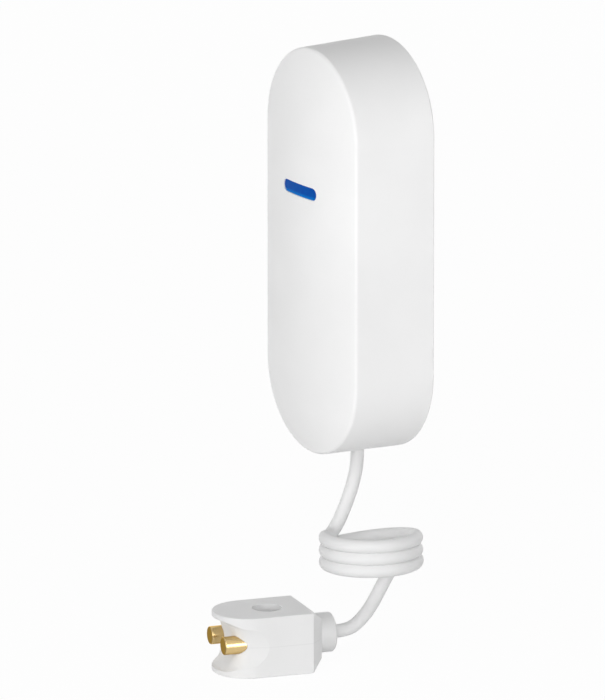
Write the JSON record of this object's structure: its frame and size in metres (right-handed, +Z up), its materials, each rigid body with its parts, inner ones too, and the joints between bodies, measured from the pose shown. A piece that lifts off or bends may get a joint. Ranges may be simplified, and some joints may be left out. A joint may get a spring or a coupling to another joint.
{
  "type": "flood sensor",
  "caption": "White obround wall housing with a domed front and an indicator window, a coiled lead and a floor probe with contact pins that senses water.",
  "frame": {"origin": "centre of the adhesive pad's rear face, on the wall", "axes": "+Z up along the housing, +Y into the wall, so the domed front faces -Y"},
  "size_m": [0.0487, 0.0496, 0.159],
  "materials": {
    "housing": "white satin moulding",
    "probe_plastic": "white satin moulding",
    "jacket": "white smooth jacket",
    "lens": "blue tinted, smooth",
    "gold": "gold plated, polished",
    "seal": "soft seal",
    "grommet": "soft white",
    "foam": "adhesive foam",
    "screw": "zinc plated",
    "board": "green solder mask",
    "lamp": "clear moulded lamp",
    "shield": "plain sheet",
    "chip": "black moulded",
    "contact_metal": "plated sheet",
    "cell": "wrapped can",
    "terminal": "green moulded",
    "core": "insulated core"
  },
  "bodies": {
    "root": {"front_shell": "housing", "back_cover": "housing", "cover_gasket": "seal", "cover_screws": "screw", "mounting_pad": "foam", "indicator_lens": "lens", "circuit_board": "board", "board_screws": "screw", "status_led": "lamp", "radio_module": "shield", "processor_chip": "chip", "antenna": "contact_metal", "battery_holder": "chip", "battery_cell": "cell", "positive_contact": "contact_metal", "negative_contact": "contact_metal", "terminal_block": "terminal", "terminal_screws": "screw", "supply_capacitor": "shield", "lead_wires": "core", "cable_grommet": "grommet", "cord_collar": "shield", "cord_inner_end": "jacket", "cord_upper": "jacket", "cord_coil": "jacket", "cord_lower": "jacket", "probe_body": "probe_plastic", "probe_boot": "probe_plastic", "probe_wires": "core", "contact_pin_near": "gold", "contact_pin_far": "gold"}
  },
  "joints": []
}
